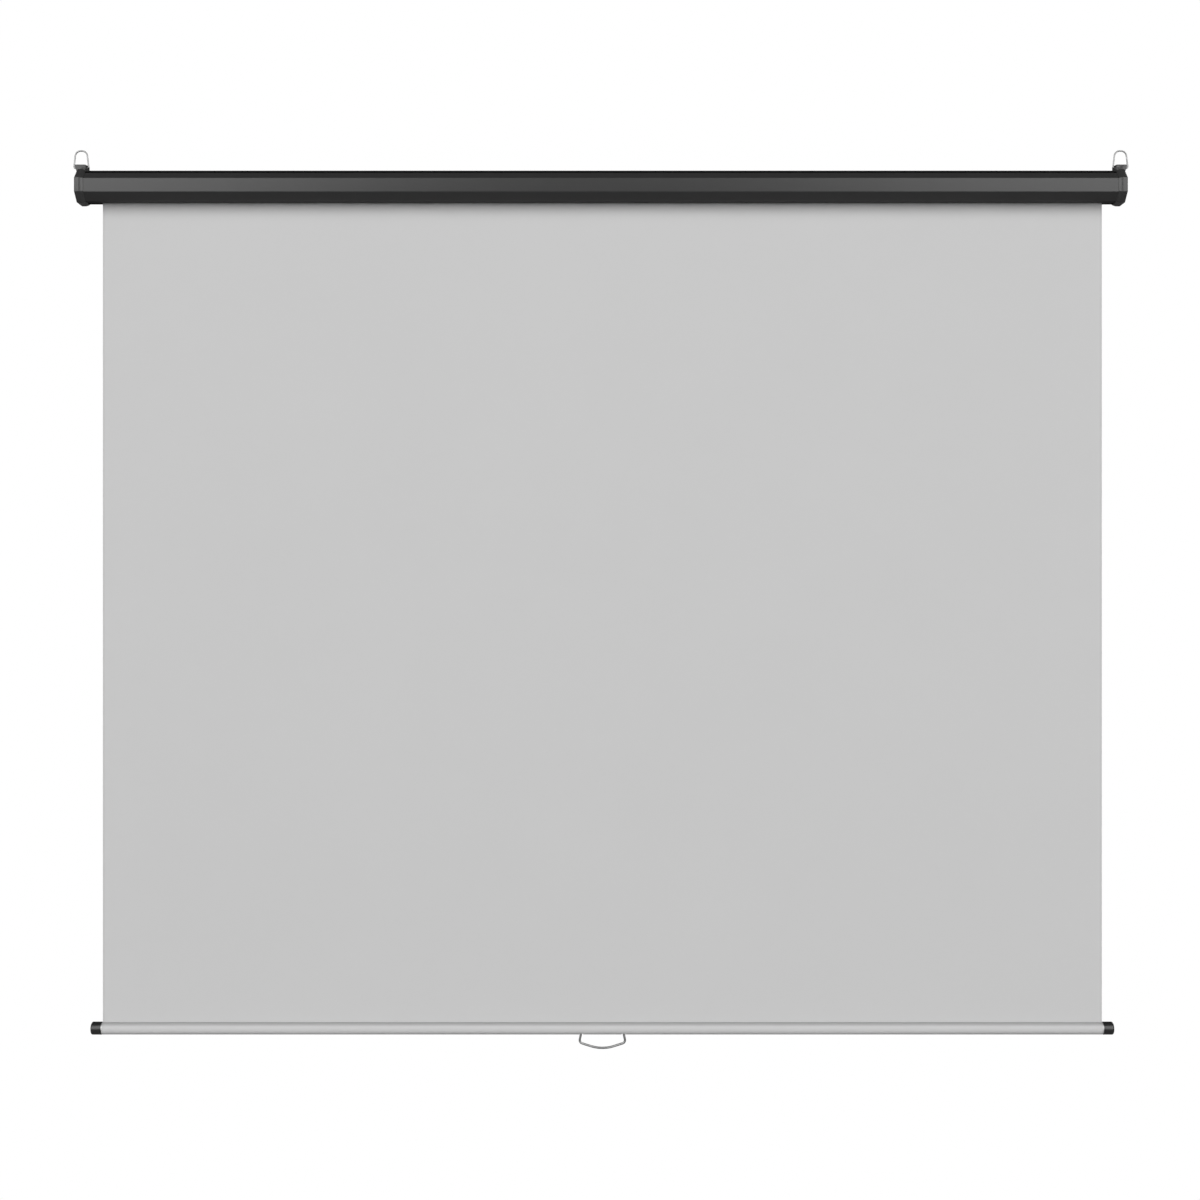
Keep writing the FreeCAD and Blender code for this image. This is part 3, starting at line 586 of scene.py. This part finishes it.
def casing_path():
    """The casing's sheet from the slot's front lip round the front, top and back to the slot's back lip."""
    front_bevel = CASING_TOP + FLAT_LOW
    bevel = CASING_TOP - CASING_FLAT
    lip = LIP_RISE - CASING_TOP
    return rounded_path([
        (SLOT_FRONT, lip),
        (SLOT_FRONT, -CASING_TOP, BEND),
        (front_bevel - CASING_DEPTH, -CASING_TOP, BEND),
        (-CASING_DEPTH, FLAT_LOW, BEND),
        (-CASING_DEPTH, FLAT_HIGH, BEND),
        (*GROOVE_FOOT, BEND / 3),
        (GROOVE_FLOOR, GROOVE_FOOT[1]),
        (GROOVE_FLOOR, GROOVE_HEAD[1]),
        (*GROOVE_HEAD, BEND / 3),
        (bevel - CASING_DEPTH, CASING_CROWN, BEND / 2),
        (-bevel, CASING_CROWN, BEND),
        (0, CASING_FLAT, BEND),
        (0, -CASING_FLAT, BEND),
        (-bevel, -CASING_TOP, BEND),
        (SLOT_BACK, -CASING_TOP, SHEET),
        (SLOT_BACK, lip),
    ])


def sheet_loop(path, thickness):
    """Closed outline of a sheet with one face on the path and the other to its right."""
    inside = []
    for index, spot in enumerate(path):
        before = path[max(index - 1, 0)]
        after = path[min(index + 1, len(path) - 1)]
        ahead = (after - spot).normalized() if after != spot else (spot - before).normalized()
        behind = (spot - before).normalized() if before != spot else ahead
        across = Vector((ahead.y + behind.y, -ahead.x - behind.x)).normalized()
        slant = across.dot(Vector((ahead.y, -ahead.x)))
        inside.append(spot + across * thickness / slant)
    return path + inside[::-1]


def make_casing():
    """The formed casing, with a groove along the top of its front."""
    piece = new_piece("casing_cover", "casing", "casing_paint", "casing_shell")
    bm = bmesh.new()
    draw_sheet(bm, sheet_loop(casing_path(), SHEET), spaced(CASING_LOW.x, CASING_HIGH.x, LONG_COLUMNS))
    fill_mesh(piece, bm, SHARP_SHEET)


CAP_BACK_FLAT = 0.01984
CAP_FLAT_LOW = -0.01624
CAP_FLAT_HIGH = 0.0127
CAP_CORNER = 0.003
CAP_VANISH = 0.0145
CAP_WALL = 0.0034
CAP_BORE = 0.016
CAP_SEAT = 0.002
CAP_SEAT_INSET = 0.0064
CAP_HOLD = 0.0006
CAP_RIM_DROP = 0.0026
CAP_RIM_TAPER = 0.008
CAP_RIM_CURVE = 1.4
CAP_TIP_ROUND = 0.0024
CAP_DOME = 0.0034
CAP_DOME_INSET = 0.013
CAP_DOME_TURN = math.radians(72.8)
CAP_CREST = 0.0001
CAP_CREST_INSET = 0.0136
TIP_STEPS = 6
TAPER_STEPS = 4


def cap_loop(inset):
    """Eight-sided section of a cap, drawn in by an inset everywhere but at its back."""
    front = inset - CAP_DEPTH
    top = CAP_TOP - inset
    slant = inset * math.sqrt(2)
    upper = CAP_FLAT_HIGH + CAP_DEPTH - slant
    lower = -CAP_FLAT_LOW + CAP_DEPTH - slant
    rear = CAP_BACK_FLAT - slant
    corner = CAP_CORNER * (1 - inset / CAP_VANISH)
    return rounded_path([
        (front, -front - lower, corner),
        (front, front + upper, corner),
        (top - upper, top, corner),
        (rear - top, top, corner),
        (0, rear, corner),
        (0, -rear, corner),
        (rear - top, -top, corner),
        (top - lower, -top, corner),
    ], CORNER_STEPS)


def cap_stations():
    """Places along X and insets of a cap's sections, from the seat inside it round the rim to its tip."""
    seat = CAP_RIM + CAP_BORE
    shoulder = CAP_TIP - CAP_DOME - CAP_TIP_ROUND
    stations = [(seat + CAP_SEAT, CAP_SEAT_INSET), (seat, CAP_SEAT_INSET)]
    stations += [(seat, CAP_WALL), (CAP_RIM, CAP_WALL)]
    stations += [(CAP_RIM + CAP_RIM_TAPER * share, CAP_RIM_DROP * (1 - share) ** CAP_RIM_CURVE)
                 for share in spaced(0, 1, TAPER_STEPS)]
    stations += [(CAP_RIM + CAP_RIM_TAPER + CAP_HOLD, 0), (shoulder - CAP_HOLD, 0)]
    stations += [(shoulder + CAP_TIP_ROUND * math.sin(turn), CAP_TIP_ROUND * (1 - math.cos(turn)))
                 for turn in spaced(0, CAP_DOME_TURN, TIP_STEPS)]
    stations += [(CAP_TIP - CAP_CREST, CAP_DOME_INSET), (CAP_TIP, CAP_CREST_INSET)]
    return stations


LUG_FRONT = -0.043
LUG_BACK = -0.0135
LUG_FOOT = 0.029
LUG_SILL = 0.0318
LUG_SILL_REAR = 0.0163
LUG_TOP = 0.0441
LUG_RISE = 0.003
LUG_INSET = 0.0013
LUG_OVERHANG = 0.0013
LUG_WAIST = (0.0002, 0.0067)
LUG_WAIST_ROUND = 0.004
LUG_TUCK = 0.0026
LUG_ROUND = 0.0018
LUG_EDGE = 0.001
LUG_STEPS = 4
EYE_FIT = 0.0003
EYE_SIDES = 24


def lug_loop(depth, top):
    """Front view of a cap's hanging lug as (x, z), over the sleeve's wall and down into the closed end."""
    seat = CAP_RIM + CAP_BORE
    sill = min(LUG_SILL, LUG_SILL_REAR - depth)
    return rounded_path([
        (CAP_RIM + LUG_INSET, sill),
        (seat, sill),
        (seat + CAP_SEAT, LUG_FOOT),
        (CAP_TIP - LUG_TUCK, LUG_FOOT, LUG_EDGE),
        (CAP_TIP + LUG_WAIST[0], LUG_FOOT + LUG_WAIST[1], LUG_WAIST_ROUND),
        (CAP_TIP + LUG_OVERHANG, top, LUG_EDGE),
        (CAP_RIM + LUG_INSET, top, LUG_EDGE),
    ], CORNER_STEPS)


def make_lug(sign):
    """Mesh of a hanging lug with a rounded top that rises to the back, bored for its ring."""
    slabs = []
    for face, inward, crest in ((LUG_FRONT, 1, LUG_TOP), (LUG_BACK, -1, LUG_TOP + LUG_RISE)):
        slabs += [(face + inward * LUG_ROUND * (1 - math.cos(turn)), crest - LUG_ROUND * (1 - math.sin(turn)))
                  for turn in spaced(0, math.pi / 2, LUG_STEPS)[::inward]]
    radius = RING_WIRE + EYE_FIT
    eye = [(EYE_DEPTH + radius * math.cos(turn), EYE_LEVEL + radius * math.sin(turn))
           for turn in full_turn(EYE_SIDES)]
    shells = {
        "lug": [[(sign * x, depth, z) for x, z in lug_loop(depth, top)] for depth, top in slabs],
        "eye": [[(sign * x, y, z) for y, z in eye] for x in (CAP_RIM - CAP_SEAT, CAP_TIP + CAP_BORE)],
    }
    meshes = []
    for name, sections in shells.items():
        bm = bmesh.new()
        loft(bm, sections)
        bmesh.ops.recalc_face_normals(bm, faces=bm.faces)
        mesh = bpy.data.meshes.new(name)
        bm.to_mesh(mesh)
        bm.free()
        meshes.append(mesh)
    return bored(*meshes)


def make_cap(side, sign):
    """Moulded cap over one end of the casing, with its hanging lug."""
    piece = new_piece(f"cap_moulding_{side}", "casing", "cap_plastic", f"end_cap_{side}")
    bm = bmesh.new()
    loft(bm, [[(sign * x, y, z) for y, z in cap_loop(inset)] for x, inset in cap_stations()])
    bm.from_mesh(make_lug(sign))
    fill_mesh(piece, bm, SHARP_MOULDED)


# Rings, handle and bar ends

RING_HALF_FOOT = 0.01515
RING_ARCH = 0.01105
RING_ARCH_BEND = 0.995
RING_SHIFT = 0.00035
RING_HEIGHT = 0.0352
RING_TIP = 0.0022
RING_BEND = 0.0034


def make_ring(side, sign):
    """Bent wire ring whose two ends meet in a lug's eye."""
    low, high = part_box(f"hang_ring_{side}")
    middle = (low.x + high.x) / 2 + sign * RING_SHIFT
    corners = both_halves([
        (RING_TIP, 0.0),
        (RING_HALF_FOOT, 0.0, RING_BEND),
        (RING_ARCH, RING_HEIGHT, RING_ARCH * RING_ARCH_BEND),
    ])
    path = [Vector((middle + x, EYE_LEVEL + z)) for x, z in rounded_path(corners)]
    piece = new_piece(f"ring_wire_{side}", f"{side}_ring", "ring_wire", f"hang_ring_{side}")
    wire_mesh(piece, path, RING_WIRE, EYE_DEPTH)


HANDLE_ENTRY = 0.014
HANDLE_HALF_SPREAD = 0.0472
HANDLE_HALF_FLAT = 0.0123
HANDLE_CORNER_DROP = 0.0208
HANDLE_REACH = 0.0319
HANDLE_TOP_BEND = 0.004
HANDLE_SIDE_BEND = 0.007
HANDLE_FOOT_BEND = 0.072


def make_handle():
    """Bent wire handle with its ends turned into the bottom bar."""
    corners = both_halves([
        (HANDLE_HALF_PITCH - HANDLE_ENTRY, 0.0),
        (HANDLE_HALF_PITCH, 0.0, HANDLE_TOP_BEND),
        (HANDLE_HALF_SPREAD, -HANDLE_CORNER_DROP, HANDLE_SIDE_BEND),
        (HANDLE_HALF_FLAT, -HANDLE_REACH, HANDLE_FOOT_BEND),
    ])
    pivot = HANDLE_HIGH.z - HANDLE_WIRE
    path = [Vector((CLOTH_OFFSET + x, pivot + z)) for x, z in rounded_path(corners)]
    piece = new_piece("handle_loop", "handle", "handle_wire", "pull_handle")
    wire_mesh(piece, path, HANDLE_WIRE, CLOTH_PLANE)


BAR_END_ROUND = 0.003
BAR_END_FACE = 0.005
BAR_END_EDGE = 0.0004
BAR_END_LIP = 0.0003
BAR_END_STEPS = 6


def make_bar_end(side, sign):
    """Turned cap over one end of the bottom bar."""
    low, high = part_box(f"bar_cap_{side}")
    length = high.x - low.x
    radius = (high.z - low.z) / 2
    near = high.x if sign < 0 else low.x
    bore = BAR_RADIUS + HEM_GAP
    bottom = length - BAR_END_FACE
    rounding = [(length - BAR_END_ROUND * (1 - math.cos(turn)), radius - BAR_END_ROUND * (1 - math.sin(turn)))
                for turn in spaced(math.pi / 2, 0, BAR_END_STEPS)]
    inside = [(bottom, 0), (bottom, bore), (BAR_END_EDGE, bore), (0, bore + BAR_END_LIP)]
    outside = [(0, radius - BAR_END_EDGE), (BAR_END_EDGE, radius), *rounding, (length, 0)]
    piece = new_piece(f"bar_end_{side}", "bar", "cap_plastic", f"bar_cap_{side}")
    lathe_mesh(piece, [(near + sign * x, girth) for x, girth in inside + outside], CLOTH_PLANE, BAR_LEVEL)
    return piece


# Stage, light and camera

FLOOR_LEVEL = -2.6
FLOOR_HALF = 40
FLOOR_TONE = 0.35
FLOOR_ROUGHNESS = 0.9


def make_stage():
    """Pale floor that throws light up; the camera sees it white from above and clear from below."""
    floor = bpy.data.objects.new("floor", bpy.data.meshes.new("floor"))
    bpy.context.scene.collection.objects.link(floor)
    bm = bmesh.new()
    bmesh.ops.create_grid(bm, x_segments=1, y_segments=1, size=FLOOR_HALF)
    bm.to_mesh(floor.data)
    bm.free()
    floor.location.z = FLOOR_LEVEL
    material, tree, shader = new_material("pale_floor", FLOOR_ROUGHNESS)
    shader.inputs["Base Color"].default_value = grey(FLOOR_TONE)
    floor.data.materials.append(material)
    lit = shader.outputs["BSDF"]
    white = add_node(tree, "ShaderNodeEmission").outputs["Emission"]
    clear = add_node(tree, "ShaderNodeBsdfTransparent").outputs["BSDF"]
    from_below = add_node(tree, "ShaderNodeNewGeometry").outputs["Backfacing"]
    to_camera = add_node(tree, "ShaderNodeLightPath").outputs["Is Camera Ray"]
    seen = add_node(tree, "ShaderNodeMixShader", {"Fac": from_below, 1: white, 2: clear}).outputs["Shader"]
    surface = add_node(tree, "ShaderNodeMixShader", {"Fac": to_camera, 1: lit, 2: seen}).outputs["Shader"]
    tree.links.new(surface, tree.nodes["Material Output"].inputs["Surface"])


AMBIENT = 0.12
AMBIENT_BEHIND = 0.04
AMBIENT_FALL = (-0.1, 0.4)


def make_world():
    """White to the camera; to the object a dim room that is darker behind it."""
    world = bpy.data.worlds.new("studio")
    bpy.context.scene.world = world
    world.use_nodes = True
    tree = world.node_tree
    background = tree.nodes["Background"]
    background.inputs["Color"].default_value = grey(1)
    direction = add_node(tree, "ShaderNodeTexCoord").outputs["Generated"]
    room = spread(tree, coordinate(tree, direction, "Y"), AMBIENT, AMBIENT_BEHIND, *AMBIENT_FALL)
    to_camera = add_node(tree, "ShaderNodeLightPath").outputs["Is Camera Ray"]
    strength = add_node(tree, "ShaderNodeMix", {"Factor": to_camera, "A": room, "B": 1.0}, data_type="FLOAT")
    tree.links.new(strength.outputs["Result"], background.inputs["Strength"])


def make_softbox(name, place, size, radiance):
    """Area light of a given width, height and radiance that faces the cloth."""
    light = bpy.data.lights.new(name, "AREA")
    light.shape = "RECTANGLE"
    light.size, light.size_y = size
    light.energy = radiance * math.pi * size[0] * size[1]
    box = bpy.data.objects.new(name, light)
    box.location = place
    box.rotation_euler = (CLOTH_MIDDLE - Vector(place)).to_track_quat("-Z", "Y").to_euler()
    box.visible_camera = False
    bpy.context.scene.collection.objects.link(box)


def make_lights():
    """Two large softboxes in front, two small ones behind and a faint one between."""
    for side, sign in SIDES:
        make_softbox(f"{side}_softbox", place=(sign * 9.8, -18.7, 7.5), size=(13.5, 21.6), radiance=2.57)
        make_softbox(f"{side}_rear_softbox", place=(sign * 12.5, 10.0, 4.0), size=(7.0, 7.0), radiance=3.0)
    make_softbox("front_softbox", place=(0, -21.0, 4.5), size=(4.5, 15.0), radiance=0.02)


CAMERA_PLACE = (-0.0018, -3.4115, -0.8365)
CAMERA_LENS = 50
CAMERA_SENSOR = 36


def make_camera():
    """Level camera that looks straight at the wall."""
    camera = bpy.data.cameras.new("camera")
    camera.lens = CAMERA_LENS
    camera.sensor_width = CAMERA_SENSOR
    camera.sensor_fit = "HORIZONTAL"
    holder = bpy.data.objects.new("camera", camera)
    holder.location = CAMERA_PLACE
    holder.rotation_euler = (math.pi / 2, 0, 0)
    bpy.context.scene.collection.objects.link(holder)
    bpy.context.scene.camera = holder


def dress(finishes):
    """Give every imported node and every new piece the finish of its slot."""
    for subpart in frame["record"]["subparts"]:
        node = frame["nodes"][subpart["node"]]
        node.data.materials.clear()
        node.data.materials.append(finishes[subpart["material_slot"]])
    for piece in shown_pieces():
        if "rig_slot" in piece:
            piece.data.materials.clear()
            piece.data.materials.append(finishes[piece["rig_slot"]])


# The dressed screen

cloth = make_cloth()
hem = make_hem()
wraps = make_wraps()
make_casing()
for side, sign in SIDES:
    make_cap(side, sign)
for side, sign in SIDES:
    make_ring(side, sign)
make_handle()
bar_ends = [make_bar_end(side, sign) for side, sign in SIDES]
dress(make_finishes())
# The hem's cloth has painted shade on its upward faces along the top of the bar.
hem.data.materials[0] = cloth_finish("top_shaded_white_cloth", CLOTH_TONE, TOP_SHADE_TONE)
bar_moulding = coated_finish("glossy_moulding", level=0.016, roughness=0.3, grain=2200.0, depth=0.00004,
                             specular=0.7)
for bar_end in bar_ends:
    bar_end.data.materials[0] = bar_moulding
make_stage()
make_world()
make_lights()
make_camera()
bpy.context.scene.view_settings.view_transform = "Standard"
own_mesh(cloth)
